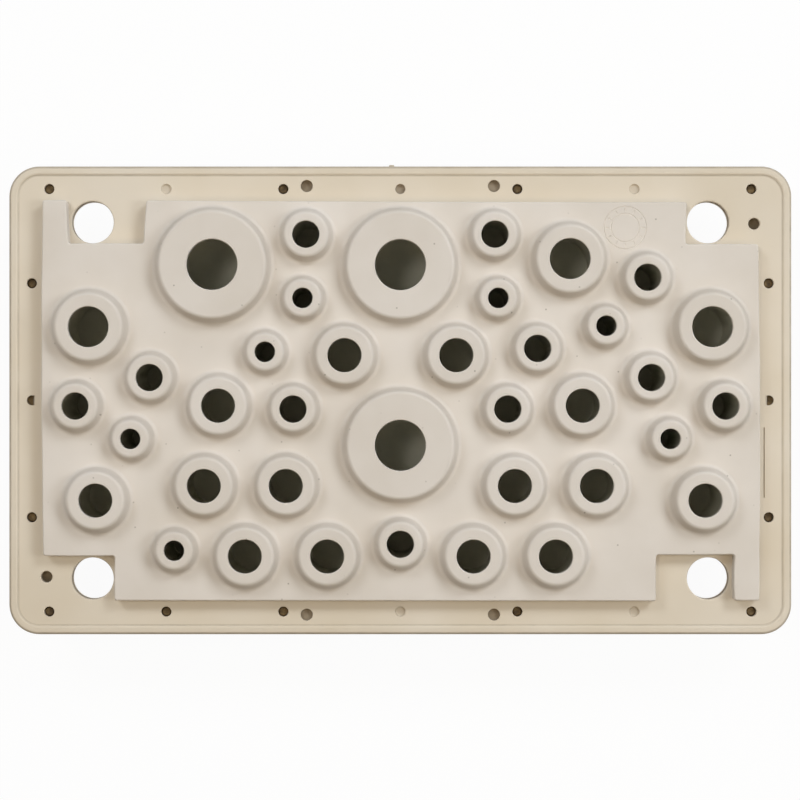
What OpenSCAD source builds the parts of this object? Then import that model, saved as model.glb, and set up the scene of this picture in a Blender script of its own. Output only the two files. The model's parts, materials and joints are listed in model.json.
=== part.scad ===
// Cable entry plate: a rigid carrier plate, a soft mat with a collared entry for each
// cable, and a seal round the back. It lies flat with the collared side up (+Z). The
// origin is the middle of the plate's back face. All sizes are in millimetres.

/* [Carrier plate] */
// Width of the plate
plate_w = 234; // [226:1:280]
// Height of the plate, as it hangs on a wall
plate_h = 140; // [136:1:170]
// Thickness of the plate's web
plate_t = 3.5; // [3:0.1:5]
// Radius of the plate's outer corners
plate_corner_r = 9; // [6:0.5:12]
// Width of the raised lip round the edge, at its foot
lip_w = 2.8; // [2.2:0.1:3.2]
// Height of the lip above the web
lip_h = 0.4; // [0.3:0.1:1.2]
// Run of the lip's inner slope
lip_slope = 0.6; // [0.3:0.1:0.8]
// Rounding of the plate's outer front edge
lip_edge_r = 0.6; // [0.3:0.1:0.8]

/* [Corner fixings] */
// Diameter of the four corner fixing holes
fix_d = 12.5; // [10:0.5:14]
// Wall of the rear pad round each fixing hole
pad_wall = 1.5; // [1:0.1:3]
// Height of the rear pads, which stop the seal from being crushed
pad_h = 0.8; // [0.4:0.1:1.2]
// Gap between the rear pads and the seal channel
pad_gap = 0.2; // [0.1:0.1:2]
// Distance from the plate's short sides to the fixing holes
fix_inset_x = 25; // [20:0.5:30]

/* [Anchor holes and recesses] */
// Diameter of the anchor holes and of the shallow dimples between them
anchor_d = 3; // [2:0.1:3.6]
// Depth of the dimples
dimple_depth = 0.6; // [0.2:0.1:1]
// Distance from the short sides to the last hole of each long row
row_end_inset = 12; // [11:0.5:16]
// Distance from the long sides to the end holes of each short row
column_end_inset = 35; // [30:0.5:45]
// How far the flat of the half-round anchor holes lies from their middle
half_round_flat = 0.4; // [0:0.1:0.9]
// Diameter of the four recesses near the middle of the long sides
recess_d = 3.6; // [3:0.1:4.5]
// Depth of those recesses
recess_depth = 1.4; // [0.4:0.1:1.6]
// Distance of those recesses from the plate's centre line
recess_x = 28; // [22:0.5:31]
// How far those recesses lie outside the row of anchor holes
recess_out = 0.9; // [0:0.1:1.2]
// Diameter of the two blind holes at opposite corners
blind_d = 3.4; // [2.6:0.1:3.6]
// Plate left under the two blind holes
blind_floor = 0.6; // [0.4:0.1:1.5]
// Distance from the short sides to the blind holes
blind_inset_x = 11.2; // [11:0.1:12]
// Distance from the long sides to the blind holes
blind_inset_y = 17.2; // [15:0.1:22]

/* [Entry mat] */
// Distance from the plate's edge to the mat's edge, all round
mat_inset = 10.5; // [9.5:0.1:11.5]
// Thickness of the mat's sheet
mat_t = 4; // [3:0.1:5]
// Radius of the mat's outer corners
mat_corner_r = 1.5; // [0.5:0.1:3]
// Clearance between the corner cut-outs in the mat and the fixing holes
cutout_clear = 0.8; // [0.3:0.1:1.5]
// Width of the slots at two opposite corners, which leave a tab outside them
slot_w = 23.2; // [16:0.1:26]
// Distance from the mat's edges to the middle of the outermost entries
entry_margin = 10.5; // [9.5:0.1:12]

/* [Entry sizes] */
// Mouth of the largest entries
mouth_a_d = 15; // [10:0.5:20]
// Face of the largest collars, to the sharp edge before rounding
face_a_d = 31.8; // [26:0.1:32.6]
// Mouth of the large entries
mouth_b_d = 12; // [8:0.5:14]
// Face of the large collars
face_b_d = 20; // [18:0.1:21]
// Mouth of the medium entries
mouth_c_d = 10; // [6:0.5:11]
// Face of the medium collars
face_c_d = 17; // [15:0.1:17.8]
// Mouth of the small entries
mouth_d_d = 8; // [5:0.5:8.5]
// Face of the small collars
face_d_d = 13.2; // [12.5:0.1:14]
// Mouth of the smallest entries
mouth_e_d = 6; // [4.5:0.5:6.5]
// Face of the smallest collars
face_e_d = 11.1; // [10.5:0.1:12]

/* [Entry form] */
// Height of the collars above the mat
collar_h = 4.5; // [3:0.1:6]
// How much further out the collar's foot lies than its face
collar_run = 1.5; // [1:0.1:2]
// Rounding of the collar's upper edge
collar_edge_r = 1.2; // [0.4:0.1:1.6]
// Fillet between the collar and the mat
collar_foot_r = 1.4; // [0.4:0.1:1.6]
// Thickness of the lip round each mouth
mouth_lip_t = 1.6; // [1:0.1:2.5]
// Wall of the sleeve behind the collar
sleeve_wall = 1.6; // [1.2:0.1:1.8]
// Clearance between a sleeve and its hole in the plate
sleeve_fit = 0.1; // [0.05:0.05:0.3]
// How far the retaining bead behind the plate stands out from the sleeve
bead_w = 0.8; // [0.4:0.1:1]
// Height of the retaining bead
bead_h = 1.4; // [0.8:0.1:2.5]
// How far the closed tips reach behind the plate
tip_reach = 20; // [12:0.5:24]
// How much narrower the tip is than the sleeve, on each side
tip_taper = 0.9; // [0.3:0.1:1.1]
// Thickness of the closed end, which is cut open for a cable
tip_t = 1; // [0.6:0.1:1.5]

/* [Perimeter seal] */
// Distance from the plate's edge to the middle of the seal
seal_inset = 6.8; // [6:0.1:7]
// Radius of the seal's middle line at its corners
seal_corner_r = 3; // [2.4:0.1:5]
// Width of the channel that holds the seal
channel_w = 4; // [3.6:0.1:4.4]
// Depth of the channel
channel_depth = 1.3; // [0.8:0.1:1.5]
// How far the seal stands out of the channel
seal_proud = 1.7; // [1.3:0.1:2.5]
// Clearance between the seal and the sides of its channel and holes
seal_fit = 0.1; // [0.05:0.05:0.2]
// Rounding of the seal's two sealing edges
seal_edge_r = 1; // [0.4:0.1:1.4]
// How far the pegs end below the plate's front face
peg_sink = 0.9; // [0.4:0.1:1.2]

/* [Hidden] */
$fn = 64;

// Overlap that carries a cut or a joined shape past a shared face
over = 0.5;
// Flat ring round the foot of each entry, level with the sheet
root_flat = 0.2;

// The web ends under the lip, inside the rim
web_inset = lip_w - over;
web_w = plate_w - 2 * web_inset;
web_h = plate_h - 2 * web_inset;

// Heights
mat_z = plate_t;
mat_top = mat_z + mat_t;
face_z = mat_top + collar_h;

// Corner fixings: the rear pads lie just inside the seal channel
fix_r = fix_d / 2;
pad_r = fix_r + pad_wall;
fix_x = plate_w / 2 - fix_inset_x;
fix_y = plate_h / 2 - seal_inset - channel_w / 2 - pad_gap - pad_r;

// Anchor holes: rows along the middle of the seal, counted in steps from the centre
row_x_step = (plate_w / 2 - row_end_inset) / 3;
column_y_step = plate_h / 2 - column_end_inset;
row_y = plate_h / 2 - seal_inset;
column_x = plate_w / 2 - seal_inset;
top_row_holes = [-3, -1, 1, 3];
top_row_dimples = [-2, 0, 2];
bottom_row_holes = [-3, -2, -1, 1, 3];
bottom_row_dimples = [0, 2];
column_holes = [-1, 1];
anchor_places = concat(
    [for (i = top_row_holes) [i * row_x_step, row_y]],
    [for (i = bottom_row_holes) [i * row_x_step, -row_y]],
    [for (s = [-1, 1]) for (i = column_holes) [s * column_x, i * column_y_step]]
);
dimple_places = concat(
    [for (i = top_row_dimples) [i * row_x_step, row_y]],
    [for (i = bottom_row_dimples) [i * row_x_step, -row_y]]
);

// Mat
mat_w = plate_w - 2 * mat_inset;
mat_h = plate_h - 2 * mat_inset;
cutout_edge = fix_r + cutout_clear;
cutout_depth = mat_h / 2 - fix_y + cutout_edge;
tab_edge = fix_x + cutout_edge;
notch_edge = fix_x - cutout_edge;

// Places of the entries. They spread or close up with the mat, so that the outermost ones
// keep their margin.
function pairs(places) = [for (p = places) for (s = [-1, 1]) [s * p.x, p.y]];
places_a = [[0, -13.3], [0, 40], [-55.6, 40.1]];
places_b = concat(pairs([[92.1, 21.7]]), [[50.1, 41.8]]);
places_c = pairs([
    [21.6, -46.1], [45.9, -46.1], [33.8, -25.3], [58, -25.3],
    [53.8, -1.6], [90, -29.6], [16.5, 13.3]
]);
places_d = concat(
    pairs([[31.7, -2.6], [96, -1.7], [27.9, 49], [74.1, 6.7]]),
    [[0, -42.5], [40.5, 15.3], [73, 36.3]]
);
places_e = concat(pairs([[79.7, -11.4], [28.9, 30.2]]), [[60.8, 22], [-40, 14.3], [-66.8, -44.4]]);

all_places = concat(places_a, places_b, places_c, places_d, places_e);
spread = [
    (mat_w / 2 - entry_margin) / max([for (p = all_places) abs(p.x)]),
    (mat_h / 2 - entry_margin) / max([for (p = all_places) abs(p.y)])
];

// Each group of entries: mouth diameter, face diameter, places
entries = [
    [mouth_a_d, face_a_d, places_a],
    [mouth_b_d, face_b_d, places_b],
    [mouth_c_d, face_c_d, places_c],
    [mouth_d_d, face_d_d, places_d],
    [mouth_e_d, face_e_d, places_e]
];

// Collar side: the length that each rounding takes from its corner
side_angle = atan2(collar_h, collar_run);
edge_tangent = collar_edge_r * tan(side_angle / 2);
foot_tangent = collar_foot_r * tan(side_angle / 2);

// Outside of the sleeve, hole in the plate and foot of the entry, for a face diameter
function sleeve_r(face_d) = face_d / 2 - sleeve_fit;
function plate_hole_r(face_d) = face_d / 2;
function root_r(face_d) = face_d / 2 + collar_run + foot_tangent + root_flat;

module rounded_rect(w, h, r) {
    square([w - 2 * r, h], center = true);
    square([w, h - 2 * r], center = true);
    for (x = [-1, 1]) for (y = [-1, 1])
        translate([x * (w / 2 - r), y * (h / 2 - r)]) circle(r);
}

// Carries a section round a rounded rectangle. The section's x is 0 on the outline and
// positive outwards, and its y is the height.
module sweep_round(w, h, r) {
    for (s = [-1, 1]) {
        turn = s < 0 ? 180 : 0;
        rotate(turn) translate([w / 2, h / 2 - r, 0])
            rotate([90, 0, 0]) linear_extrude(h - 2 * r) children();
        rotate(turn + 90) translate([h / 2, w / 2 - r, 0])
            rotate([90, 0, 0]) linear_extrude(w - 2 * r) children();
        rotate(turn) translate([w / 2 - r, h / 2 - r, 0])
            rotate_extrude(angle = 90) translate([r, 0]) children();
        rotate(turn) translate([r - w / 2, h / 2 - r, 0])
            rotate([0, 0, 90]) rotate_extrude(angle = 90) translate([r, 0]) children();
    }
}

// A rectangle from (0, 0) with its upper corners rounded
module round_topped(w, h, r) {
    square([w, h - r]);
    translate([r, 0]) square([w - 2 * r, h]);
    for (x = [r, w - r]) translate([x, h - r]) circle(r);
}

module at_each(places) {
    for (p = places) translate([p.x, p.y, 0]) children();
}

module at_entries(places) {
    for (p = places) translate([p.x * spread.x, p.y * spread.y, 0]) children();
}

module at_fixings() {
    for (x = [-1, 1]) for (y = [-1, 1]) translate([x * fix_x, y * fix_y, 0]) children();
}

// Outline of a half-round anchor hole in the middle of each short side, flat towards the mat
module half_round(fit) {
    intersection() {
        circle(anchor_d / 2 - fit);
        translate([fit - half_round_flat, -anchor_d / 2]) square(anchor_d);
    }
}

module at_half_rounds() {
    for (a = [0, 180]) rotate(a) translate([column_x, 0, 0]) children();
}

// Section of the plate's rim, with the lip on it
module rim_section() {
    difference() {
        polygon([
            [0, 0],
            [0, plate_t + lip_h],
            [lip_slope - lip_w, plate_t + lip_h],
            [-lip_w, plate_t],
            [-lip_w, 0]
        ]);
        difference() {
            translate([-lip_edge_r, plate_t + lip_h - lip_edge_r]) square(lip_edge_r + over);
            translate([-lip_edge_r, plate_t + lip_h - lip_edge_r]) circle(lip_edge_r);
        }
    }
}

module carrier_plate() {
    color("#d9cbb5") difference() {
        union() {
            linear_extrude(plate_t) difference() {
                rounded_rect(web_w, web_h, plate_corner_r - web_inset);
                at_fixings() circle(fix_r);
                for (e = entries) at_entries(e[2]) circle(plate_hole_r(e[1]));
            }
            sweep_round(plate_w, plate_h, plate_corner_r) rim_section();
            translate([0, 0, -pad_h]) linear_extrude(pad_h) at_fixings() difference() {
                circle(pad_r);
                circle(fix_r);
            }
        }
        sweep_round(2 * column_x, 2 * row_y, seal_corner_r)
            translate([-channel_w / 2, -over]) square([channel_w, channel_depth + over]);
        at_each(anchor_places) cylinder(d = anchor_d, h = plate_t + over);
        at_half_rounds() linear_extrude(plate_t + over) half_round(0);
        at_each(dimple_places) translate([0, 0, plate_t - dimple_depth])
            cylinder(d = anchor_d, h = dimple_depth + over);
        for (x = [-1, 1]) for (y = [-1, 1])
            translate([x * recess_x, y * (row_y + recess_out), plate_t - recess_depth])
                cylinder(d = recess_d, h = recess_depth + over);
        for (s = [-1, 1])
            translate([s * (plate_w / 2 - blind_inset_x), s * (plate_h / 2 - blind_inset_y), blind_floor])
                cylinder(d = blind_d, h = plate_t + over);
    }
}

// Half section of an entry, from its axis outwards
module entry_section(mouth_d, face_d) {
    face_r = face_d / 2;
    foot_r = face_r + collar_run;
    outside_r = sleeve_r(face_d);
    inside_r = outside_r - sleeve_wall;
    along = [collar_run, -collar_h] / norm([collar_run, collar_h]);
    edge = [face_r, face_z];
    edge_centre = [face_r - edge_tangent, face_z - collar_edge_r];
    foot = [foot_r, mat_top];
    foot_centre = [foot_r + foot_tangent, mat_top + collar_foot_r];
    difference() {
        union() {
            difference() {
                polygon([
                    [0, mat_z],
                    [0, face_z],
                    edge,
                    foot,
                    [root_r(face_d), mat_top],
                    [root_r(face_d), mat_z]
                ]);
                difference() {
                    polygon([edge_centre, [edge_centre.x, face_z], edge, edge + along * edge_tangent]);
                    translate(edge_centre) circle(collar_edge_r);
                }
            }
            difference() {
                polygon([foot, foot - along * foot_tangent, foot_centre, [foot_centre.x, mat_top]]);
                translate(foot_centre) circle(collar_foot_r);
            }
            polygon([
                [0, mat_z + over],
                [outside_r, mat_z + over],
                [outside_r, 0],
                [outside_r + bead_w, 0],
                [outside_r + bead_w, -bead_h / 2],
                [outside_r, -bead_h],
                [outside_r - tip_taper, -tip_reach],
                [0, -tip_reach]
            ]);
        }
        translate([0, face_z - mouth_lip_t - over]) square([mouth_d / 2, mouth_lip_t + 2 * over]);
        polygon([
            [0, face_z - mouth_lip_t],
            [inside_r, face_z - mouth_lip_t],
            [inside_r, -bead_h],
            [inside_r - tip_taper, tip_t - tip_reach],
            [0, tip_t - tip_reach]
        ]);
    }
}

// Outline of the mat: slots at two opposite corners, open notches at the other two
module mat_outline() {
    difference() {
        rounded_rect(mat_w, mat_h, mat_corner_r);
        for (a = [0, 180]) rotate(a) {
            translate([-tab_edge, mat_h / 2 - cutout_depth]) square([slot_w, cutout_depth + over]);
            translate([notch_edge, mat_h / 2 - cutout_depth])
                square([mat_w / 2 - notch_edge + over, cutout_depth + over]);
        }
    }
}

module entry_mat() {
    color("#d6cec1") {
        translate([0, 0, mat_z]) linear_extrude(mat_t) difference() {
            mat_outline();
            for (e = entries) at_entries(e[2]) circle(sleeve_r(e[1]) - sleeve_wall / 2);
        }
        for (e = entries) at_entries(e[2]) rotate_extrude() entry_section(e[0], e[1]);
    }
}

module perimeter_seal() {
    seal_w = channel_w - 2 * seal_fit;
    seal_h = channel_depth + seal_proud;
    peg_top = plate_t - peg_sink;
    color("#3f362a") {
        sweep_round(2 * column_x, 2 * row_y, seal_corner_r)
            translate([-seal_w / 2, channel_depth]) mirror([0, 1]) round_topped(seal_w, seal_h, seal_edge_r);
        at_each(anchor_places) cylinder(d = anchor_d - 2 * seal_fit, h = peg_top);
        at_half_rounds() linear_extrude(peg_top) half_round(seal_fit);
    }
}

carrier_plate();
entry_mat();
perimeter_seal();
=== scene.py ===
import json
import math

import bpy
from mathutils import Matrix, Vector


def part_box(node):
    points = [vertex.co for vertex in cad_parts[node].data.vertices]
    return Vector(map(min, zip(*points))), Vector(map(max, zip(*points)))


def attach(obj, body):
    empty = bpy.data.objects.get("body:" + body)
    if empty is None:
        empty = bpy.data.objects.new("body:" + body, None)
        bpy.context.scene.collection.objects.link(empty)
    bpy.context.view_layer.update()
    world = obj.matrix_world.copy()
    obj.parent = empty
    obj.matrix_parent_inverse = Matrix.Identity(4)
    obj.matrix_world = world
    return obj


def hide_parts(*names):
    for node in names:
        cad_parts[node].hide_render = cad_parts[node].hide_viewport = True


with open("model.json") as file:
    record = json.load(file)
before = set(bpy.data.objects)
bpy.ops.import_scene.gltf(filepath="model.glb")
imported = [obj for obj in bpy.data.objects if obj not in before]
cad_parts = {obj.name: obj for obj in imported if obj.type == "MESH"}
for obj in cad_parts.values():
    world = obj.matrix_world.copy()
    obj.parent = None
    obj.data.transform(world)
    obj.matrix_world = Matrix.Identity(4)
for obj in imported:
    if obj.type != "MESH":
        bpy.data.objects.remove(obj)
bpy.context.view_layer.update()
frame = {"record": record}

# Camera and studio.
# The plate lies flat on white paper and is seen from straight above. Its width fills nearly all of a
# square picture. Soft, faintly cool lamps stand round the upper and outer sides, stronger on the right,
# two weak warm ones fill in from below, and a small high one on the left shines into the mouths.
MM = 0.001
IMAGE_PX = 800
PLATE_WIDTH_PX = 783
# How far the middle of the picture lies to the right of the plate's middle, and above it
PICTURE_SHIFT_PX = (-0.3, 0.35)
CAMERA_HEIGHT = 600 * MM
LAMP_DISTANCE = 1.2
LAMP_SIZE = 0.4
HIGH_LAMP_SIZE = 0.2
SKY_STRENGTH = 0.03
PAPER_SIZE = 6
# Share of plain white in the paper as it is seen, so that only a trace of the shadow is left
PAPER_WHITE = 0.95
# The paper lies a little below the sleeve tips, so that no two faces coincide
PAPER_GAP = 0.05 * MM
plate_low, plate_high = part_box("carrier_plate")
mat_low, mat_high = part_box("entry_mat")

bpy.ops.object.select_all(action="DESELECT")
bpy.ops.object.camera_add(location=(0, 0, CAMERA_HEIGHT), rotation=(0, 0, 0))
camera = bpy.context.object
picture_width = (plate_high.x - plate_low.x) * IMAGE_PX / PLATE_WIDTH_PX
camera.data.lens = camera.data.sensor_width * (CAMERA_HEIGHT - plate_high.z) / picture_width
camera.data.shift_x = PICTURE_SHIFT_PX[0] / IMAGE_PX
camera.data.shift_y = PICTURE_SHIFT_PX[1] / IMAGE_PX
bpy.context.scene.camera = camera
bpy.context.scene.view_settings.view_transform = "Standard"


def linear(hex_colour):
    """An sRGB hex colour as linear RGBA."""
    parts = [int(hex_colour[i:i + 2], 16) / 255 for i in (1, 3, 5)]
    return [c / 12.92 if c <= 0.04045 else ((c + 0.055) / 1.055) ** 2.4 for c in parts] + [1.0]


def add_node(tree, kind, inputs=None, **settings):
    """Adds a node with its settings. An input is a value, or the output socket that feeds it."""
    node = tree.nodes.new(kind)
    for name, value in settings.items():
        setattr(node, name, value)
    for name, value in (inputs or {}).items():
        if isinstance(value, bpy.types.NodeSocket):
            tree.links.new(value, node.inputs[name])
        else:
            node.inputs[name].default_value = value
    return node


def soft_lamp(name, azimuth, elevation, colour, power, size=LAMP_SIZE):
    """A soft square lamp that points at the middle of the plate, with its direction in degrees."""
    turned, raised = math.radians(azimuth), math.radians(elevation)
    outwards = math.cos(raised)
    place = Vector((outwards * math.cos(turned), outwards * math.sin(turned), math.sin(raised)))
    bpy.ops.object.light_add(type="AREA", location=place * LAMP_DISTANCE)
    lamp = bpy.context.object
    lamp.name = name
    lamp.data.size = size
    lamp.data.color = linear(colour)[:3]
    lamp.data.energy = power
    lamp.rotation_euler = (-place).to_track_quat("-Z", "Y").to_euler()


def seen_share(tree):
    """A socket that is 1 where the camera sees the surface itself or mirrored, and 0 for its light."""
    rays = add_node(tree, "ShaderNodeLightPath").outputs
    mirrored = add_node(tree, "ShaderNodeMath", {
        0: rays["Is Glossy Ray"], 1: rays["Is Transmission Ray"]}, operation="MAXIMUM")
    seen = add_node(tree, "ShaderNodeMath", {
        0: rays["Is Camera Ray"], 1: mirrored.outputs[0]}, operation="MAXIMUM")
    return seen.outputs[0]


soft_lamp("right_lamp", 0, 40, "#f6fbff", 4.1)
soft_lamp("upper_right_lamp", 45, 40, "#f1f7ff", 5.7)
soft_lamp("upper_left_lamp", 135, 40, "#f1f7ff", 4.2)
soft_lamp("left_lamp", 180, 40, "#f6fbff", 0.6)
soft_lamp("high_left_lamp", 155, 71, "#fcf7ee", 1.6, HIGH_LAMP_SIZE)
soft_lamp("lower_left_fill", 225, 60, "#ffe7c2", 1.3)
soft_lamp("lower_right_fill", 315, 60, "#ffe7c2", 1.3)

world = bpy.context.scene.world or bpy.data.worlds.new("studio")
bpy.context.scene.world = world
world.use_nodes = True
sky = world.node_tree
sky.nodes.clear()
sky_light = add_node(sky, "ShaderNodeBackground", {
    "Color": linear("#ffe4b8"), "Strength": SKY_STRENGTH})
sky_white = add_node(sky, "ShaderNodeBackground", {"Color": (1, 1, 1, 1), "Strength": 1.0})
sky_mix = add_node(sky, "ShaderNodeMixShader", {
    "Fac": seen_share(sky), 1: sky_light.outputs[0], 2: sky_white.outputs[0]})
add_node(sky, "ShaderNodeOutputWorld", {"Surface": sky_mix.outputs[0]})

bpy.ops.mesh.primitive_plane_add(size=PAPER_SIZE, location=(0, 0, mat_low.z - PAPER_GAP))
floor = bpy.context.object
floor.name = "studio_floor"
paper = bpy.data.materials.new("white_paper")
paper.use_nodes = True
tree = paper.node_tree
tree.nodes.clear()
paper_diffuse = add_node(tree, "ShaderNodeBsdfDiffuse", {"Color": linear("#f4f2ee")})
paper_white = add_node(tree, "ShaderNodeEmission", {"Color": (1, 1, 1, 1), "Strength": 1.0})
paper_share = add_node(tree, "ShaderNodeMath", {0: seen_share(tree), 1: PAPER_WHITE}, operation="MULTIPLY")
paper_mix = add_node(tree, "ShaderNodeMixShader", {
    "Fac": paper_share.outputs[0], 1: paper_diffuse.outputs[0], 2: paper_white.outputs[0]})
add_node(tree, "ShaderNodeOutputMaterial", {"Surface": paper_mix.outputs[0]})
floor.data.materials.append(paper)

# Carrier plate.
# One rigid injection moulding in ivory ABS: a flat web with a raised round-edged lip, a hole under
# each cable entry, corner fixing holes with rear pads, a seal channel and small rim holes.
PLATE_CORNER = 9 * MM
CORNER_STEPS = 16
LIP_TOP_WIDTH = 2.2 * MM
LIP_SLOPE = 0.6 * MM
LIP_HEIGHT = 0.4 * MM
LIP_OUTER_ROUND = 1.0 * MM
LIP_INNER_ROUND = 0.2 * MM
BACK_ROUND = 0.3 * MM
FIXING_ROUND = 0.4 * MM
PAD_WALL = 1.5 * MM
TURN_STEPS = 64
SEAL_INSET = 6.8 * MM
SEAL_CORNER = 3 * MM
CHANNEL_WIDTH = 4 * MM
CHANNEL_DEPTH = 1.3 * MM
ENTRY_HOLE_ROUND = 0.2 * MM
# Small holes and shallow marks along the rim, most of them in rows at an even step over the seal
ROW_STEP = 35 * MM
RIM_HOLE_STEPS = 28
ANCHOR_RADIUS = 1.5 * MM
ANCHOR_ROUND = 0.2 * MM
HALF_ROUND_STEPS = 32
HALF_ROUND_FLAT = 0.4 * MM
FLAT_SLOPE = 0.65
FLAT_SLOPE_DEPTH = 0.9 * MM
DIMPLE_RADIUS = 1.5 * MM
DIMPLE_DEPTH = 0.6 * MM
DEEP_DIMPLE_DEPTH = 1.2 * MM
RECESS_X = 28 * MM
RECESS_OUT = 0.9 * MM
RECESS_RADIUS = 1.8 * MM
RECESS_DEPTH = 1.4 * MM
MARK_ROUND = 0.15 * MM
BLIND_INSET = (11.2 * MM, 17.2 * MM)
BLIND_RADIUS = 1.7 * MM
BLIND_FLOOR = 0.6 * MM
BLIND_ROUND = 0.35 * MM
# Points closer than this are merged, a point this near a level lies on it, and tools cut this far past
TOLERANCE = 0.005 * MM
NEAR = 0.02 * MM
CUT_PAST = 2 * MM
# Diameter of the mouth, diameter of the collar's face and steps round each size of entry
ENTRY_SIZES = {
    "largest": (15 * MM, 31.8 * MM, 80),
    "large": (12 * MM, 20 * MM, 64),
    "medium": (10 * MM, 17 * MM, 56),
    "small": (8 * MM, 13.2 * MM, 48),
    "smallest": (6 * MM, 11.1 * MM, 40),
}
web_top = plate_high.z - LIP_HEIGHT
pad_back = plate_low.z
row_y = plate_high.y - SEAL_INSET
column_x = plate_high.x - SEAL_INSET

# The fixing holes and the entries lie where the record's mounts and openings are.
fixings = [m for m in frame["record"]["mounts"] if m["name"].startswith("fixing_")]
fixing_radius = fixings[0]["dims"]["r_mm"] * MM
fixing_places = [m["pos_m"][:2] for m in fixings]
entry_places = {size: [] for size in ENTRY_SIZES}
for mount in frame["record"]["mounts"]:
    if "_entry_" in mount["name"]:
        entry_places[mount["name"].split("_entry_")[0]].append(mount["pos_m"][:2])
for opening in frame["record"]["physics"]["openings"]:
    low, high = opening["box_m"]
    middle = [(low[i] + high[i]) / 2 for i in (0, 1)]
    entry_places[opening["name"].split("_entry_")[0]].append(middle)


def rounded_face(width, height, z, corner):
    """A flat rectangle with rounded corners. It is left in edit mode, all selected."""
    bpy.ops.object.select_all(action="DESELECT")
    bpy.ops.mesh.primitive_plane_add(size=1, location=(0, 0, 0))
    bpy.ops.object.mode_set(mode="EDIT")
    bpy.ops.mesh.select_mode(type="VERT")
    bpy.ops.mesh.select_all(action="SELECT")
    bpy.ops.transform.resize(value=(width, height, 1))
    bpy.ops.transform.translate(value=(0, 0, z))
    bpy.ops.mesh.bevel(offset=corner, segments=CORNER_STEPS, affect="VERTICES")
    bpy.ops.mesh.select_all(action="SELECT")
    return bpy.context.object


def extrude(z):
    """Extrudes what is selected straight up or down."""
    bpy.ops.mesh.extrude_region_move(TRANSFORM_OT_translate={"value": (0, 0, z)})


def pick(piece, kind, test):
    """Selects the edges or faces of a piece whose corner points all pass a test, in edit mode."""
    bpy.ops.object.mode_set(mode="EDIT")
    bpy.ops.mesh.select_mode(type=kind)
    bpy.ops.mesh.select_all(action="DESELECT")
    bpy.ops.object.mode_set(mode="OBJECT")
    points = [vertex.co for vertex in piece.data.vertices]
    for part in (piece.data.edges if kind == "EDGE" else piece.data.polygons):
        part.select = all(test(points[i]) for i in part.vertices)
    bpy.ops.object.mode_set(mode="EDIT")


def round_edges(piece, test, radius, steps):
    """Rounds the edges whose ends pass a test."""
    pick(piece, "EDGE", test)
    bpy.ops.mesh.bevel(offset=radius, segments=steps, affect="EDGES")


def inwards(point):
    """How far a point lies inside the plate's outline, seen from above."""
    beyond_x = abs(point.x) - plate_high.x + PLATE_CORNER
    beyond_y = abs(point.y) - plate_high.y + PLATE_CORNER
    if beyond_x <= 0 or beyond_y <= 0:
        return PLATE_CORNER - max(beyond_x, beyond_y)
    return PLATE_CORNER - math.hypot(beyond_x, beyond_y)


def near(value, target):
    """Whether a value is as good as another."""
    return abs(value - target) < NEAR


def arc(centre, radius, start, end, steps):
    """Points of a round stretch of a half section, with its angles in degrees."""
    angles = [math.radians(start + (end - start) * i / steps) for i in range(steps + 1)]
    return [(centre[0] + radius * math.cos(a), centre[1] + radius * math.sin(a)) for a in angles]


def draw_chain(points):
    """Starts a mesh from one vertex and extrudes it from point to point. It is left in edit mode."""
    bpy.ops.object.select_all(action="DESELECT")
    bpy.ops.mesh.primitive_plane_add(size=1 * MM, location=(0, 0, 0))
    bpy.ops.object.mode_set(mode="EDIT")
    bpy.ops.mesh.select_mode(type="VERT")
    bpy.ops.mesh.select_all(action="SELECT")
    bpy.ops.mesh.merge(type="CENTER")
    bpy.ops.transform.translate(value=points[0])
    for here, there in zip(points, points[1:]):
        step = Vector(there) - Vector(here)
        bpy.ops.mesh.extrude_region_move(TRANSFORM_OT_translate={"value": step})
    return bpy.context.object


def turn(section, steps):
    """Spins a half section of (radius, height) points about the Z axis."""
    piece = draw_chain([(radius, 0, height) for radius, height in section])
    bpy.ops.mesh.select_all(action="SELECT")
    bpy.ops.mesh.spin(steps=steps, angle=2 * math.pi, center=(0, 0, 0), axis=(0, 0, 1))
    bpy.ops.mesh.select_all(action="SELECT")
    bpy.ops.mesh.remove_doubles(threshold=TOLERANCE)
    bpy.ops.mesh.normals_make_consistent(inside=False)
    bpy.ops.object.mode_set(mode="OBJECT")
    return piece


def joined(pieces):
    """Joins pieces into the first one."""
    bpy.ops.object.select_all(action="DESELECT")
    for piece in pieces:
        piece.select_set(True)
    bpy.context.view_layer.objects.active = pieces[0]
    bpy.ops.object.join()
    return pieces[0]


def set_at(model, places):
    """Copies a model to each place, each copy with its own mesh, and joins the copies."""
    copies = []
    for x, y in places:
        copy = model.copy()
        copy.data = model.data.copy()
        copy.data.transform(Matrix.Translation((x, y, 0)))
        bpy.context.collection.objects.link(copy)
        copies.append(copy)
    bpy.data.objects.remove(model)
    return joined(copies)


def combine(piece, tool, operation):
    """Joins a closed tool to a piece, or takes it away, and removes the tool."""
    boolean = piece.modifiers.new("combine", "BOOLEAN")
    boolean.object = tool
    boolean.operation = operation
    boolean.solver = "EXACT"
    bpy.context.view_layer.objects.active = piece
    bpy.ops.object.modifier_apply(modifier=boolean.name)
    bpy.data.objects.remove(tool)


def hole_tool(radius, top, bottom, top_round, steps, bottom_round=0):
    """A turned tool for a round hole. It flares where the hole's edges are rounded."""
    section = [(0, top + CUT_PAST), (radius + top_round, top + CUT_PAST)]
    section += arc((radius + top_round, top - top_round), top_round, 90, 180, 3)
    if bottom_round:
        section += arc((radius + bottom_round, bottom + bottom_round), bottom_round, 180, 270, 3)
        section += [(radius + bottom_round, bottom - CUT_PAST), (0, bottom - CUT_PAST)]
    else:
        section += [(radius, bottom), (0, bottom)]
    return turn(section, steps)


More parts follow.
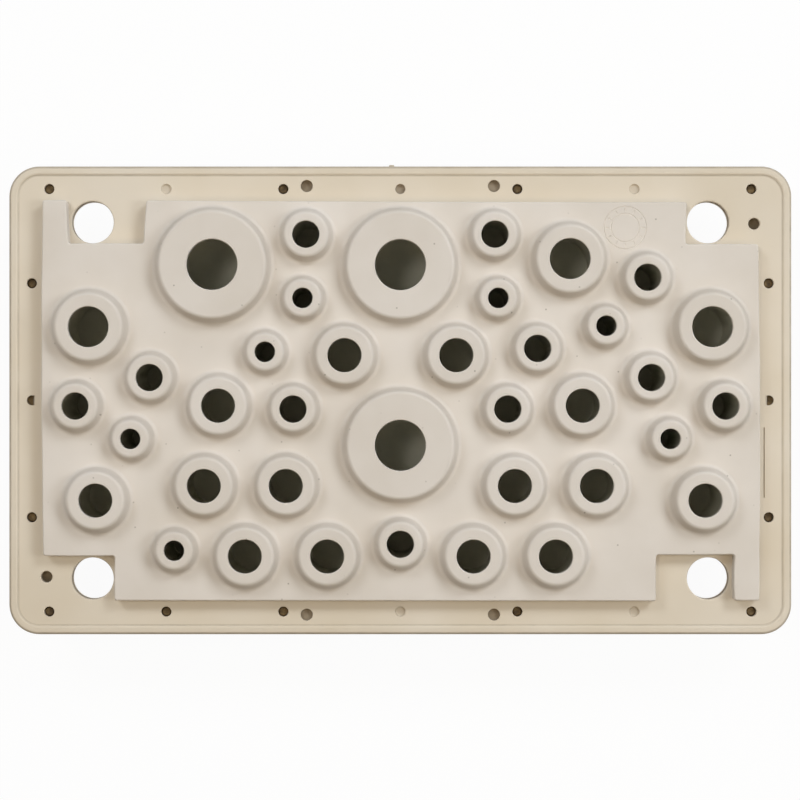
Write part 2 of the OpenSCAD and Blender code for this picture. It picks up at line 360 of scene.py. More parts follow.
def rim_ring(width, z, height):
    """A closed ring of rectangular section that follows the middle line of the seal."""
    ring = rounded_face(2 * column_x + width, 2 * row_y + width, z, SEAL_CORNER + width / 2)
    bpy.ops.mesh.select_mode(type="FACE")
    bpy.ops.mesh.inset(thickness=width, use_even_offset=True)
    bpy.ops.mesh.delete(type="FACE")
    bpy.ops.mesh.select_all(action="SELECT")
    extrude(height)
    bpy.ops.mesh.select_all(action="SELECT")
    bpy.ops.mesh.normals_make_consistent(inside=False)
    bpy.ops.object.mode_set(mode="OBJECT")
    return ring


def half_round(side, radius, bottom, top, flat_slope=0):
    """A closed half-round bar on one short side of the plate. Its flat faces the mat and may slope out."""
    bpy.ops.object.select_all(action="DESELECT")
    bpy.ops.mesh.primitive_cylinder_add(vertices=HALF_ROUND_STEPS, radius=radius, depth=top - bottom,
                                        location=(0, 0, 0))
    bpy.ops.object.mode_set(mode="EDIT")
    bpy.ops.mesh.select_all(action="SELECT")
    bpy.ops.transform.translate(value=(side * column_x, 0, (top + bottom) / 2))
    flat_x = side * (column_x - HALF_ROUND_FLAT + ANCHOR_RADIUS - radius)
    bpy.ops.mesh.bisect(plane_co=(flat_x, 0, 0), plane_no=(side, 0, 0), use_fill=True, clear_inner=True)
    if flat_slope:
        slope_z = web_top - FLAT_SLOPE_DEPTH
        bpy.ops.mesh.select_all(action="SELECT")
        bpy.ops.mesh.bisect(plane_co=(0, 0, slope_z), plane_no=(0, 0, 1))
        pick(bpy.context.object, "EDGE", lambda p: near(p.z, top) and near(p.x, flat_x))
        bpy.ops.transform.translate(value=(-side * flat_slope * (top - slope_z), 0, 0))
    bpy.ops.object.mode_set(mode="OBJECT")
    return bpy.context.object


def clean_mesh():
    """Merges doubled points of the active piece, drops faces with no area and turns all faces outwards."""
    bpy.ops.object.mode_set(mode="EDIT")
    bpy.ops.mesh.select_all(action="SELECT")
    bpy.ops.mesh.remove_doubles(threshold=TOLERANCE)
    bpy.ops.mesh.dissolve_degenerate(threshold=TOLERANCE)
    bpy.ops.mesh.normals_make_consistent(inside=False)
    bpy.ops.object.mode_set(mode="OBJECT")


def finish_normals(piece, angle):
    """Smooths the rounded edges and keeps flat faces flat."""
    bpy.ops.object.select_all(action="DESELECT")
    piece.select_set(True)
    bpy.context.view_layer.objects.active = piece
    bpy.ops.object.shade_smooth_by_angle(angle=math.radians(angle))
    weighted = piece.modifiers.new("flat_faces", "WEIGHTED_NORMAL")
    weighted.keep_sharp = True
    bpy.ops.object.modifier_apply(modifier=weighted.name)


plate = rounded_face(2 * plate_high.x, 2 * plate_high.y, 0, PLATE_CORNER)
plate.name = "ivory_carrier_plate"
extrude(plate_high.z)
bpy.ops.mesh.select_mode(type="FACE")
bpy.ops.mesh.inset(thickness=LIP_TOP_WIDTH, use_even_offset=True)
bpy.ops.mesh.inset(thickness=LIP_SLOPE, depth=-LIP_HEIGHT, use_even_offset=True)
bpy.ops.mesh.select_all(action="SELECT")
bpy.ops.mesh.normals_make_consistent(inside=False)
round_edges(plate, lambda p: near(p.z, plate_high.z) and near(inwards(p), 0), LIP_OUTER_ROUND, 5)
round_edges(plate, lambda p: near(p.z, plate_high.z) and near(inwards(p), LIP_TOP_WIDTH),
            LIP_INNER_ROUND, 3)
round_edges(plate, lambda p: near(p.z, 0) and near(inwards(p), 0), BACK_ROUND, 2)
bpy.ops.object.mode_set(mode="OBJECT")

pad_radius = fixing_radius + PAD_WALL
pad = turn([(0, web_top / 2), (pad_radius, web_top / 2)]
           + arc((pad_radius - BACK_ROUND, pad_back + BACK_ROUND), BACK_ROUND, 0, -90, 3)
           + [(0, pad_back)], TURN_STEPS)
combine(plate, set_at(pad, fixing_places), "UNION")

# A stub is left on the upper edge where the gate was cut off.
STUB_SIZE = 1.6 * MM
STUB_ROUND = 0.3 * MM
STUB_X = -2.6 * MM
STUB_SINK = 0.3 * MM
bpy.ops.object.select_all(action="DESELECT")
bpy.ops.mesh.primitive_cube_add(size=STUB_SIZE, location=(0, 0, 0))
gate_stub = bpy.context.object
bpy.ops.object.mode_set(mode="EDIT")
bpy.ops.mesh.select_all(action="SELECT")
bpy.ops.mesh.bevel(offset=STUB_ROUND, segments=2, affect="EDGES")
bpy.ops.mesh.select_all(action="SELECT")
bpy.ops.transform.translate(value=(STUB_X, plate_high.y - STUB_SINK, plate_high.z / 2))
bpy.ops.object.mode_set(mode="OBJECT")
combine(plate, gate_stub, "UNION")
combine(plate, rim_ring(CHANNEL_WIDTH, -CUT_PAST, CUT_PAST + CHANNEL_DEPTH), "DIFFERENCE")

# Anchor holes for the seal's pegs, shallow round marks, and blind holes near two opposite corners
anchor_places = [(i * ROW_STEP, row_y) for i in (-3, -1, 1, 3)]
anchor_places += [(i * ROW_STEP, -row_y) for i in (-3, -2, -1, 1, 3)]
anchor_places += [(s * column_x, t * ROW_STEP) for s in (-1, 1) for t in (-1, 1)]
dimple_places = [(i * ROW_STEP, row_y) for i in (-2, 2)] + [(i * ROW_STEP, -row_y) for i in (0, 2)]
deep_dimple_place = (0, row_y)
recess_places = [(s * RECESS_X, t * (row_y + RECESS_OUT)) for s in (-1, 1) for t in (-1, 1)]
blind_x, blind_y = plate_high.x - BLIND_INSET[0], plate_high.y - BLIND_INSET[1]
blind_places = [(s * blind_x, s * blind_y) for s in (-1, 1)]
fixing_hole = hole_tool(fixing_radius, web_top, pad_back, FIXING_ROUND, TURN_STEPS, BACK_ROUND)
tools = [set_at(fixing_hole, fixing_places)]
for size, (_, face_d, steps) in ENTRY_SIZES.items():
    entry_hole = hole_tool(face_d / 2, web_top, -CUT_PAST, ENTRY_HOLE_ROUND, steps)
    tools.append(set_at(entry_hole, entry_places[size]))
anchor_hole = hole_tool(ANCHOR_RADIUS, web_top, 0, ANCHOR_ROUND, RIM_HOLE_STEPS)
tools.append(set_at(anchor_hole, anchor_places))
tools += [half_round(side, ANCHOR_RADIUS, 0, web_top + CUT_PAST, FLAT_SLOPE) for side in (-1, 1)]
dimple_edge = DIMPLE_RADIUS + MARK_ROUND
dimple = turn([(0, web_top + CUT_PAST), (dimple_edge, web_top + CUT_PAST), (dimple_edge, web_top)]
              + arc((dimple_edge, web_top - MARK_ROUND), MARK_ROUND, 90, 180, 2)
              + arc((DIMPLE_RADIUS - DIMPLE_DEPTH, web_top), DIMPLE_DEPTH, 0, -90, 4)
              + [(0, web_top - DIMPLE_DEPTH)], RIM_HOLE_STEPS)
tools.append(set_at(dimple, dimple_places))
deep_dimple = hole_tool(DIMPLE_RADIUS, web_top, web_top - DEEP_DIMPLE_DEPTH, MARK_ROUND, RIM_HOLE_STEPS)
tools.append(set_at(deep_dimple, [deep_dimple_place]))
recess = hole_tool(RECESS_RADIUS, web_top, web_top - RECESS_DEPTH, MARK_ROUND, RIM_HOLE_STEPS)
tools.append(set_at(recess, recess_places))
blind_hole = hole_tool(BLIND_RADIUS, web_top, BLIND_FLOOR, BLIND_ROUND, RIM_HOLE_STEPS)
tools.append(set_at(blind_hole, blind_places))

# One edge of a mould insert left a fine line in the web beside the mat.
INSERT_LINE_SIZE_MM = (0.35, 21, 1.2)
INSERT_LINE_PLACE = (108.8 * MM, -18.6 * MM)
INSERT_LINE_ROUND = 0.15 * MM
bpy.ops.object.select_all(action="DESELECT")
bpy.ops.mesh.primitive_cube_add(size=1 * MM, location=(0, 0, 0))
insert_line = bpy.context.object
bpy.ops.object.mode_set(mode="EDIT")
bpy.ops.mesh.select_all(action="SELECT")
bpy.ops.transform.resize(value=INSERT_LINE_SIZE_MM)
bpy.ops.transform.translate(value=(*INSERT_LINE_PLACE, web_top))
bpy.ops.mesh.bevel(offset=INSERT_LINE_ROUND, segments=2, affect="EDGES")
bpy.ops.object.mode_set(mode="OBJECT")
tools.append(insert_line)
combine(plate, joined(tools), "DIFFERENCE")
clean_mesh()
finish_normals(plate, 32)


def new_material(name):
    """A material with one Principled shader. Returns the material, its tree and the shader."""
    material = bpy.data.materials.new(name)
    material.use_nodes = True
    material.node_tree.nodes.clear()
    shader = add_node(material.node_tree, "ShaderNodeBsdfPrincipled")
    add_node(material.node_tree, "ShaderNodeOutputMaterial", {"Surface": shader.outputs[0]})
    return material, material.node_tree, shader


def colour_ramp(tree, value, stops):
    """Colours laid along a value. Each stop is a position and a linear colour."""
    ramp = add_node(tree, "ShaderNodeValToRGB", {"Fac": value})
    elements = ramp.color_ramp.elements
    for element, (position, colour) in zip(elements, (stops[0], stops[-1])):
        element.position = position
        element.color = colour
    for position, colour in stops[1:-1]:
        elements.new(position).color = colour
    return ramp.outputs["Color"]


# Moulded ABS: warm ivory that has yellowed a little unevenly, with a fine eroded mould grain that
# breaks up its gloss. Painted shade in dark brown lies along the steep outer edge, in a thin line at
# the foot of the lip and in the small holes, darker the deeper it lies, and the gloss is taken away there.
abs_plastic, tree, shader = new_material("moulded_ivory_abs")
place = add_node(tree, "ShaderNodeTexCoord").outputs["Object"]
yellowing = add_node(tree, "ShaderNodeTexNoise", {"Vector": place, "Scale": 1 / (35 * MM), "Detail": 3.0})
tone = colour_ramp(tree, yellowing.outputs["Fac"], [(0.3, linear("#d7cab4")), (0.7, linear("#dfd4c2"))])
# Distance in from the plate's rounded outline, as far in as the corner's radius
flat_place = add_node(tree, "ShaderNodeVectorMath", {0: place, 1: (1, 1, 0)}, operation="MULTIPLY")
folded = add_node(tree, "ShaderNodeVectorMath", {0: flat_place.outputs[0]}, operation="ABSOLUTE")
corner_centre = (plate_high.x - PLATE_CORNER, plate_high.y - PLATE_CORNER, 0)
beyond = add_node(tree, "ShaderNodeVectorMath", {
    0: folded.outputs[0], 1: corner_centre}, operation="SUBTRACT")
corner = add_node(tree, "ShaderNodeVectorMath", {
    0: beyond.outputs[0], 1: (0, 0, 0)}, operation="MAXIMUM")
reach = add_node(tree, "ShaderNodeVectorMath", {0: corner.outputs[0]}, operation="LENGTH")
inward = add_node(tree, "ShaderNodeMath", {
    0: PLATE_CORNER, 1: reach.outputs["Value"]}, operation="SUBTRACT")
# Painted shade along the steep rounded outer edge of the lip
edge_painted_shade = add_node(tree, "ShaderNodeMapRange", {
    "Value": inward.outputs[0], "From Min": 0.45 * MM, "From Max": 0.9 * MM, "To Min": 0.45,
    "To Max": 0.0}, interpolation_type="SMOOTHSTEP")
# Painted shade in a thin line at the foot of the lip's inner slope
foot_gap = add_node(tree, "ShaderNodeMath", {
    0: inward.outputs[0], 1: LIP_TOP_WIDTH + LIP_SLOPE}, operation="SUBTRACT")
foot_near = add_node(tree, "ShaderNodeMath", {0: foot_gap.outputs[0]}, operation="ABSOLUTE")
foot_painted_shade = add_node(tree, "ShaderNodeMapRange", {
    "Value": foot_near.outputs[0], "From Min": 0.1 * MM, "From Max": 0.45 * MM, "To Min": 0.28,
    "To Max": 0.0}, interpolation_type="SMOOTHSTEP")
# Depth below the web, where a point is inside the lip and not on the back
height = add_node(tree, "ShaderNodeSeparateXYZ", {"Vector": place}).outputs["Z"]
sunk = add_node(tree, "ShaderNodeMapRange", {
    "Value": height, "From Min": web_top - 0.15 * MM, "From Max": web_top - 1.5 * MM, "To Min": 0.0,
    "To Max": 0.9})
front = add_node(tree, "ShaderNodeMath", {0: height, 1: 0.5 * MM}, operation="GREATER_THAN")
within = add_node(tree, "ShaderNodeMath", {0: inward.outputs[0], 1: 3 * MM}, operation="GREATER_THAN")
hole_zone = add_node(tree, "ShaderNodeMath", {
    0: front.outputs[0], 1: within.outputs[0]}, operation="MULTIPLY")
# Painted shade in the small holes and recesses, darker the deeper a point lies below the web
hole_painted_shade = add_node(tree, "ShaderNodeMath", {
    0: sunk.outputs[0], 1: hole_zone.outputs[0]}, operation="MULTIPLY")
# Noise that makes the painted shade patchy
painted_shade_noise = add_node(tree, "ShaderNodeTexNoise", {"Vector": place, "Scale": 1 / (5 * MM), "Detail": 4.0})
painted_shade_patchiness = add_node(tree, "ShaderNodeMapRange", {
    "Value": painted_shade_noise.outputs["Fac"], "From Min": 0.3, "From Max": 0.7, "To Min": 0.65, "To Max": 1.0})
line_painted_shade = add_node(tree, "ShaderNodeMath", {
    0: edge_painted_shade.outputs[0], 1: foot_painted_shade.outputs[0]}, operation="MAXIMUM")
all_painted_shade = add_node(tree, "ShaderNodeMath", {
    0: line_painted_shade.outputs[0], 1: hole_painted_shade.outputs[0]}, operation="MAXIMUM")
painted_shade = add_node(tree, "ShaderNodeMath", {
    0: all_painted_shade.outputs[0], 1: painted_shade_patchiness.outputs[0]}, operation="MULTIPLY")
# The painted shade darkens the ivory towards a dark brown, and its mask also makes those places matt
painted_shade_tone = add_node(tree, "ShaderNodeMix", {
    "Factor": painted_shade.outputs[0], "A": tone, "B": linear("#5e4b2e")}, data_type="RGBA")
tree.links.new(painted_shade_tone.outputs["Result"], shader.inputs["Base Color"])
shader.inputs["IOR"].default_value = 1.53
shader.inputs["Specular IOR Level"].default_value = 0.35
grain = add_node(tree, "ShaderNodeTexNoise", {"Vector": place, "Scale": 1 / (0.45 * MM), "Detail": 2.0})
gloss = add_node(tree, "ShaderNodeMapRange", {
    "Value": grain.outputs["Fac"], "From Min": 0.3, "From Max": 0.7, "To Min": 0.38, "To Max": 0.5})
dull = add_node(tree, "ShaderNodeMix", {
    "Factor": painted_shade.outputs[0], "A": gloss.outputs["Result"], "B": 1.0}, data_type="FLOAT")
tree.links.new(dull.outputs["Result"], shader.inputs["Roughness"])
bump = add_node(tree, "ShaderNodeBump", {
    "Height": grain.outputs["Fac"], "Strength": 0.2, "Distance": 0.05 * MM})
tree.links.new(bump.outputs["Normal"], shader.inputs["Normal"])
plate.data.materials.append(abs_plastic)
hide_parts("carrier_plate")
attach(plate, "root")

# Perimeter seal.
# One ring of dark EPDM rubber, pressed into the channel behind the plate. Two lips on its back press
# on the enclosure wall, and its pegs stand in the anchor holes and show from the front.
SEAL_FIT = 0.1 * MM
SEAL_LIP = 1.2 * MM
SEAL_LIP_ROUND = 0.35 * MM
SEAL_GROOVE = 0.6 * MM
PEG_SINK = 0.9 * MM
PEG_ROUND = 0.5 * MM
PEG_DENT_RADIUS = 0.5 * MM
PEG_DENT = 0.3 * MM
seal_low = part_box("perimeter_seal")[0]
seal_width = CHANNEL_WIDTH - 2 * SEAL_FIT
peg_top = web_top - PEG_SINK
seal = rim_ring(seal_width, seal_low.z, CHANNEL_DEPTH - seal_low.z)
seal.name = "dark_perimeter_seal"
pick(seal, "FACE", lambda p: near(p.z, seal_low.z))
bpy.ops.mesh.inset(thickness=SEAL_LIP, use_even_offset=True)
extrude(SEAL_GROOVE)
bpy.ops.mesh.select_all(action="SELECT")
bpy.ops.mesh.normals_make_consistent(inside=False)
round_edges(seal, lambda p: near(p.z, seal_low.z), SEAL_LIP_ROUND, 3)
bpy.ops.object.mode_set(mode="OBJECT")
peg_radius = ANCHOR_RADIUS - SEAL_FIT
peg = turn([(0, CHANNEL_DEPTH / 2), (peg_radius, CHANNEL_DEPTH / 2)]
           + arc((peg_radius - PEG_ROUND, peg_top - PEG_ROUND), PEG_ROUND, 0, 90, 3)
           + [(PEG_DENT_RADIUS, peg_top - PEG_DENT / 2), (0, peg_top - PEG_DENT)], RIM_HOLE_STEPS)
pegs = [half_round(side, peg_radius, CHANNEL_DEPTH / 2, peg_top) for side in (-1, 1)]
seal = joined([seal, set_at(peg, anchor_places)] + pegs)
finish_normals(seal, 40)

# EPDM rubber: dark and dull, browned by a dusty bloom that lies in patches, with a fine matt grain.
epdm, tree, shader = new_material("dark_epdm_rubber")
place = add_node(tree, "ShaderNodeTexCoord").outputs["Object"]
bloom = add_node(tree, "ShaderNodeTexNoise", {"Vector": place, "Scale": 1 / (1.6 * MM), "Detail": 4.0})
tone = colour_ramp(tree, bloom.outputs["Fac"], [(0.35, linear("#463824")), (0.7, linear("#7a6748"))])
tree.links.new(tone, shader.inputs["Base Color"])
matt = add_node(tree, "ShaderNodeMapRange", {
    "Value": bloom.outputs["Fac"], "From Min": 0.3, "From Max": 0.7, "To Min": 0.6, "To Max": 0.85})
tree.links.new(matt.outputs["Result"], shader.inputs["Roughness"])
shader.inputs["Specular IOR Level"].default_value = 0.2
grain = add_node(tree, "ShaderNodeTexNoise", {"Vector": place, "Scale": 1 / (0.3 * MM), "Detail": 2.0})
bump = add_node(tree, "ShaderNodeBump", {
    "Height": grain.outputs["Fac"], "Strength": 0.3, "Distance": 0.05 * MM})
tree.links.new(bump.outputs["Normal"], shader.inputs["Normal"])
seal.data.materials.append(epdm)
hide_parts("perimeter_seal")
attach(seal, "root")

# Entry mat.
# One soft moulding in pale grey thermoplastic elastomer. It lies on the plate with free edges. Each
# entry has a collar in front, a sleeve through the plate, and a closed tip that is cut for a cable.
COLLAR_HEIGHT = 4.5 * MM
COLLAR_RUN = 1.5 * MM
COLLAR_EDGE = 1.2 * MM
COLLAR_FOOT = 1.4 * MM
FOOT_FLAT = 0.05 * MM
MOUTH_EDGE = 0.3 * MM
MOUTH_LIP = 1.6 * MM
SLEEVE_FIT = 0.1 * MM
SLEEVE_WALL = 1.0 * MM
INNER_EDGE = 0.8 * MM
BEAD_WIDTH = 0.8 * MM
BEAD_HEIGHT = 1.4 * MM
BEAD_EDGE = 0.3 * MM
TIP_TAPER = 0.9 * MM
TIP_WALL = 1.0 * MM
TIP_EDGE = 1.0 * MM
SHEET_THICKNESS = 4 * MM
face_z = mat_high.z
sheet_top = face_z - COLLAR_HEIGHT
sheet_back = sheet_top - SHEET_THICKNESS
tip_z = mat_low.z


def entry_halves(mouth_d, face_d):
    """Front and back half sections of an entry, from its foot in the sheet to its axis."""
    mouth_r, face_r = mouth_d / 2, face_d / 2
    side = math.degrees(math.atan2(COLLAR_HEIGHT, COLLAR_RUN))
    edge_tangent = COLLAR_EDGE * math.tan(math.radians(side / 2))
    foot_tangent = COLLAR_FOOT * math.tan(math.radians(side / 2))
    foot_r = face_r + COLLAR_RUN + foot_tangent
    outside = face_r - SLEEVE_FIT
    inside = outside - SLEEVE_WALL
    inner_floor = tip_z + TIP_WALL
    lip_back = face_z - MOUTH_LIP
    front = [(foot_r + FOOT_FLAT, sheet_top)]
    front += arc((foot_r, sheet_top + COLLAR_FOOT), COLLAR_FOOT, -90, -90 - side, 5)
    front += arc((face_r - edge_tangent, face_z - COLLAR_EDGE), COLLAR_EDGE, 90 - side, 90, 6)
    front += arc((mouth_r + MOUTH_EDGE, face_z - MOUTH_EDGE), MOUTH_EDGE, 90, 180, 3)
    front += [(mouth_r, lip_back)]
    front += arc((inside - INNER_EDGE, lip_back - INNER_EDGE), INNER_EDGE, 90, 0, 2)
    front += [(inside, -BEAD_HEIGHT)]
    front += arc((inside - TIP_TAPER - INNER_EDGE, inner_floor + INNER_EDGE), INNER_EDGE, 0, -90, 2)
    front += [(0, inner_floor)]
    back = [(foot_r + FOOT_FLAT, sheet_back), (outside, sheet_back), (outside, 0)]
    back += arc((outside + BEAD_WIDTH - BEAD_EDGE, -BEAD_EDGE), BEAD_EDGE, 90, 0, 2)
    back += [(outside + BEAD_WIDTH, -BEAD_HEIGHT / 2), (outside, -BEAD_HEIGHT)]
    back += arc((outside - TIP_TAPER - TIP_EDGE, tip_z + TIP_EDGE), TIP_EDGE, 0, -90, 4)
    back += [(0, tip_z)]
    return front, back


entries = []
for size, (mouth_d, face_d, steps) in ENTRY_SIZES.items():
    entry = joined([turn(half, steps) for half in entry_halves(mouth_d, face_d)])
    entries.append(set_at(entry, entry_places[size]))

# The sheet's outline goes round from corner to corner, with a slot that leaves an outer tab at two
# opposite corners and an open notch at the others. The soft sides bow and lean a little, each by
# the millimetres given with its first corner: shift of the corner in x and y, then the side's bow.
# A slight ripple, as a share of the bow, goes along each side.
CUTOUT_CLEAR = 0.8 * MM
SLOT_WIDTH = 23.2 * MM
SIDE_STEP = 4 * MM
RIPPLE_SHARE = 0.12
RIPPLE_WAVES = 3
SHEET_EDGE = 0.45 * MM
CORNER_ROUND = 0.7 * MM
cutout = fixing_radius + CUTOUT_CLEAR
fix_x, fix_y = max(p[0] for p in fixing_places), max(p[1] for p in fixing_places)
tab_x, notch_x, cutout_y = fix_x + cutout, fix_x - cutout, fix_y - cutout
side_x, side_y = mat_high.x, mat_high.y
slot_x = tab_x - SLOT_WIDTH
corner_rows = [
    ((-side_x, -cutout_y), (0.4, 0.0, 0.45)),
    ((-side_x, side_y), (0.15, 0.0, 0.0)),
    ((-tab_x, side_y), (-0.1, 0.0, -0.15)),
    ((-tab_x, cutout_y), (0.5, 0.4, 0.1)),
    ((-slot_x, cutout_y), (-0.5, 0.4, 0.15)),
    ((-slot_x, side_y), (0.4, -0.1, -0.1)),
    ((notch_x, side_y), (0.2, -0.6, -0.1)),
    ((notch_x, cutout_y), (-0.2, 0.2, 0.1)),
    ((side_x, cutout_y), (-0.1, 0.2, 0.4)),
    ((side_x, -side_y), (0.15, 0.0, 0.0)),
    ((tab_x, -side_y), (0.2, 0.0, 0.3)),
    ((tab_x, -cutout_y), (0.3, 0.4, 0.1)),
    ((slot_x, -cutout_y), (0.2, 0.3, -0.1)),
    ((slot_x, -side_y), (0.1, -0.15, 0.0)),
    ((-notch_x, -side_y), (0.0, 0.0, 0.1)),
    ((-notch_x, -cutout_y), (0.1, 0.0, 0.1)),
]
corners = [Vector(point) + Vector(lean[:2]) * MM for point, lean in corner_rows]
outline = []
for i, start in enumerate(corners):
    side = corners[(i + 1) % len(corners)] - start
    outward = Vector((-side.y, side.x)).normalized()
    steps = max(1, round(side.length / SIDE_STEP))
    bow = corner_rows[i][1][2] * MM
    for k in range(steps):
        t = k / steps
        wave = 4 * t * (1 - t) + RIPPLE_SHARE * math.sin(2 * math.pi * RIPPLE_WAVES * t + i)
        point = start + side * t + outward * (bow * wave if k else 0)
        outline.append((*point, sheet_back))
sheet = draw_chain(outline)
bpy.ops.mesh.select_all(action="SELECT")
bpy.ops.mesh.edge_face_add()
bpy.ops.mesh.select_all(action="DESELECT")
bpy.ops.object.mode_set(mode="OBJECT")
for vertex in sheet.data.vertices:
    vertex.select = any((vertex.co.xy - corner).length < TOLERANCE for corner in corners)
bpy.ops.object.mode_set(mode="EDIT")
bpy.ops.mesh.bevel(offset=CORNER_ROUND, segments=3, affect="VERTICES")
bpy.ops.mesh.select_all(action="SELECT")
extrude(SHEET_THICKNESS)
round_edges(sheet, lambda p: near(p.z, sheet_top), SHEET_EDGE, 3)
pick(sheet, "FACE", lambda p: near(p.z, sheet_top))
bpy.ops.mesh.delete(type="ONLY_FACE")
pick(sheet, "FACE", lambda p: near(p.z, sheet_back))
bpy.ops.mesh.delete(type="ONLY_FACE")
bpy.ops.object.mode_set(mode="OBJECT")

# A dial insert in the mould left two fine grooves and a ring of short ticks in the sheet.
DIAL_PLACE = (66.8 * MM, 51.3 * MM)
DIAL_RADII = (4.2 * MM, 6.3 * MM)
DIAL_GROOVE = 0.2 * MM
DIAL_DEPTH = 0.15 * MM
DIAL_TICKS = 12
TICK_SIZE_MM = (1.0, 0.4)
TICK_SLOPE = 0.15 * MM
dial = [turn([(radius - DIAL_GROOVE, sheet_top), (radius, sheet_top - DIAL_DEPTH),
              (radius + DIAL_GROOVE, sheet_top)], TURN_STEPS) for radius in DIAL_RADII]
for i in range(DIAL_TICKS):
    bpy.ops.object.select_all(action="DESELECT")
    bpy.ops.mesh.primitive_plane_add(size=1 * MM, location=(0, 0, 0))
    bpy.ops.object.mode_set(mode="EDIT")
    bpy.ops.mesh.select_mode(type="FACE")
    bpy.ops.mesh.select_all(action="SELECT")
    bpy.ops.transform.resize(value=(*TICK_SIZE_MM, 1))
    bpy.ops.mesh.inset(thickness=TICK_SLOPE, depth=-DIAL_DEPTH)
    bpy.ops.mesh.select_all(action="SELECT")
    bpy.ops.transform.translate(value=(sum(DIAL_RADII) / 2, 0, sheet_top))
    bpy.ops.transform.rotate(value=2 * math.pi * i / DIAL_TICKS, orient_axis="Z",
                             center_override=(0, 0, 0))
    bpy.ops.object.mode_set(mode="OBJECT")
    dial.append(bpy.context.object)
dial_mark = set_at(joined(dial), [DIAL_PLACE])

# The front and the back of the sheet are filled in round the feet of the entries.
mat = joined([sheet, dial_mark] + entries)
mat.name = "grey_entry_mat"
for level in (sheet_top, sheet_back):
    bpy.ops.object.mode_set(mode="EDIT")
    bpy.ops.mesh.select_mode(type="EDGE")
    bpy.ops.mesh.select_all(action="DESELECT")
    bpy.ops.mesh.select_non_manifold(use_wire=True, use_boundary=True, use_multi_face=False,
                                     use_non_contiguous=False, use_verts=False)
    bpy.ops.object.mode_set(mode="OBJECT")
    heights = [vertex.co.z for vertex in mat.data.vertices]
    for edge in mat.data.edges:
        edge.select = edge.select and all(near(heights[i], level) for i in edge.vertices)
    bpy.ops.object.mode_set(mode="EDIT")
    bpy.ops.mesh.fill(use_beauty=True)
clean_mesh()
finish_normals(mat, 35)

# Faces inside the sleeves, behind the lip of each mouth, get the second material, a painted-shade copy.
sleeve_rows = [(Vector(point), face_d / 2 - SLEEVE_FIT - SLEEVE_WALL + NEAR)
               for size, (_, face_d, _) in ENTRY_SIZES.items() for point in entry_places[size]]
for face in mat.data.polygons:
    if tip_z + TIP_WALL / 2 < face.center.z < face_z - MOUTH_LIP + NEAR:
        if any((face.center.xy - middle).length < radius for middle, radius in sleeve_rows):
            face.material_index = 1

# Moulded elastomer: pale warm grey with slightly uneven colour, and a dull, softly grained skin. A few
# dark specks of dirt lie on it, and painted shade darkens the sides of the collars a little.
elastomer, tree, shader = new_material("moulded_grey_elastomer")
place = add_node(tree, "ShaderNodeTexCoord").outputs["Object"]
mottle = add_node(tree, "ShaderNodeTexNoise", {"Vector": place, "Scale": 1 / (22 * MM), "Detail": 3.0})
tone = colour_ramp(tree, mottle.outputs["Fac"], [(0.3, linear("#d7cec2")), (0.7, linear("#e0d8ce"))])
# One dark tone, for the specks of dirt and for the painted shade on the collar sides
dirt_and_shade = linear("#6f6350")
specks = add_node(tree, "ShaderNodeTexVoronoi", {
    "Vector": place, "Scale": 1 / (11 * MM)}, voronoi_dimensions="2D")
speck = add_node(tree, "ShaderNodeMapRange", {
    "Value": specks.outputs["Distance"], "From Min": 0.015, "From Max": 0.03, "To Min": 1.0, "To Max": 0.0})
speck_tone = add_node(tree, "ShaderNodeSeparateColor", {"Color": specks.outputs["Color"]})
speck_dark = add_node(tree, "ShaderNodeMapRange", {
    "Value": speck_tone.outputs["Red"], "From Min": 0.4, "From Max": 1.0, "To Min": 0.0, "To Max": 0.6})
speck_share = add_node(tree, "ShaderNodeMath", {
    0: speck.outputs[0], 1: speck_dark.outputs[0]}, operation="MULTIPLY")
specked = add_node(tree, "ShaderNodeMix", {
    "Factor": speck_share.outputs[0], "A": tone, "B": dirt_and_shade}, data_type="RGBA")
height = add_node(tree, "ShaderNodeSeparateXYZ", {"Vector": place}).outputs["Z"]
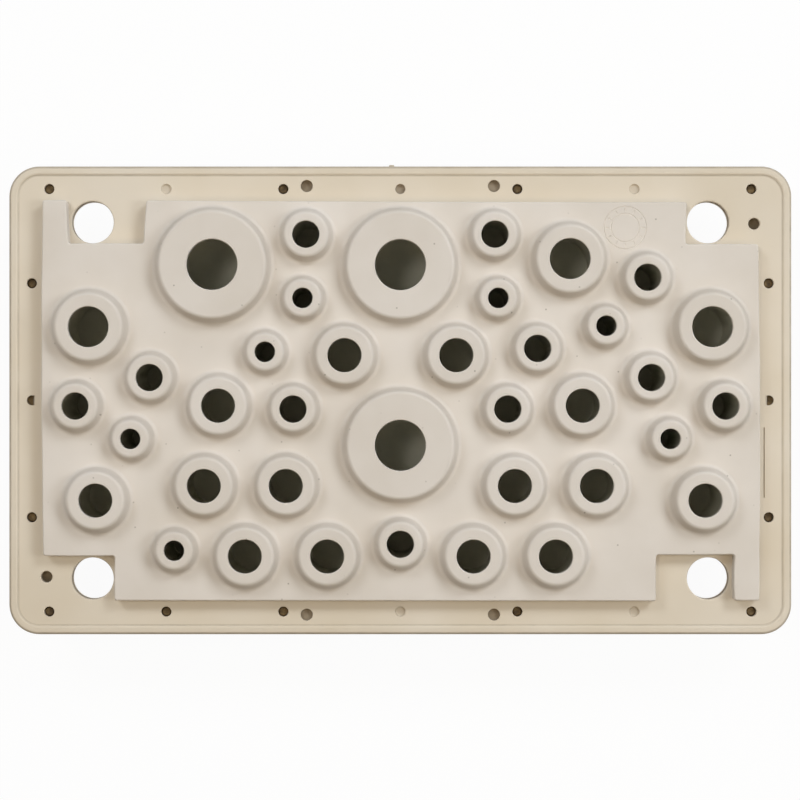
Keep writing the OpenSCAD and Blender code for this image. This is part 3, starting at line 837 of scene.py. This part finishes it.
rise = add_node(tree, "ShaderNodeMapRange", {"Value": height, "From Min": sheet_top, "From Max": face_z})
# Height up the collar, as a share of it, and how much painted shade lies there
SIDE_SHADE_STOPS = ((0.01, 0.0), (0.18, 0.12), (0.6, 0.12), (0.95, 0.02))
side_shade = colour_ramp(tree, rise.outputs[0], [(at, (share, share, share, 1)) for at, share in SIDE_SHADE_STOPS])
# Painted shade on the sides of the collars
side_shaded = add_node(tree, "ShaderNodeMix", {
    "Factor": side_shade, "A": specked.outputs["Result"], "B": dirt_and_shade}, data_type="RGBA")
tree.links.new(side_shaded.outputs["Result"], shader.inputs["Base Color"])
shader.inputs["Roughness"].default_value = 0.6
shader.inputs["IOR"].default_value = 1.5
grain = add_node(tree, "ShaderNodeTexNoise", {"Vector": place, "Scale": 1 / (0.6 * MM), "Detail": 2.0})
bump = add_node(tree, "ShaderNodeBump", {
    "Height": grain.outputs["Fac"], "Strength": 0.2, "Distance": 0.05 * MM})
tree.links.new(bump.outputs["Normal"], shader.inputs["Normal"])
mat.data.materials.append(elastomer)

# The same elastomer inside the sleeves, in a plainer and slightly darker grey: painted shade that keeps
# the deep insides dark and less brown. Its tone and roughness vary in soft patches.
sleeve_shade_copy, tree, shader = new_material("sleeve_shade_grey_elastomer")
place = add_node(tree, "ShaderNodeTexCoord").outputs["Object"]
sleeve_shade_patch = add_node(tree, "ShaderNodeTexNoise", {"Vector": place, "Scale": 1 / (4 * MM), "Detail": 3.0})
tone = colour_ramp(tree, sleeve_shade_patch.outputs["Fac"], [(0.3, linear("#cfcdc0")), (0.7, linear("#d7d5c8"))])
tree.links.new(tone, shader.inputs["Base Color"])
sleeve_roughness = add_node(tree, "ShaderNodeMapRange", {
    "Value": sleeve_shade_patch.outputs["Fac"], "From Min": 0.3, "From Max": 0.7, "To Min": 0.6, "To Max": 0.85})
tree.links.new(sleeve_roughness.outputs["Result"], shader.inputs["Roughness"])
shader.inputs["IOR"].default_value = 1.5
mat.data.materials.append(sleeve_shade_copy)
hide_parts("entry_mat")
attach(mat, "root")
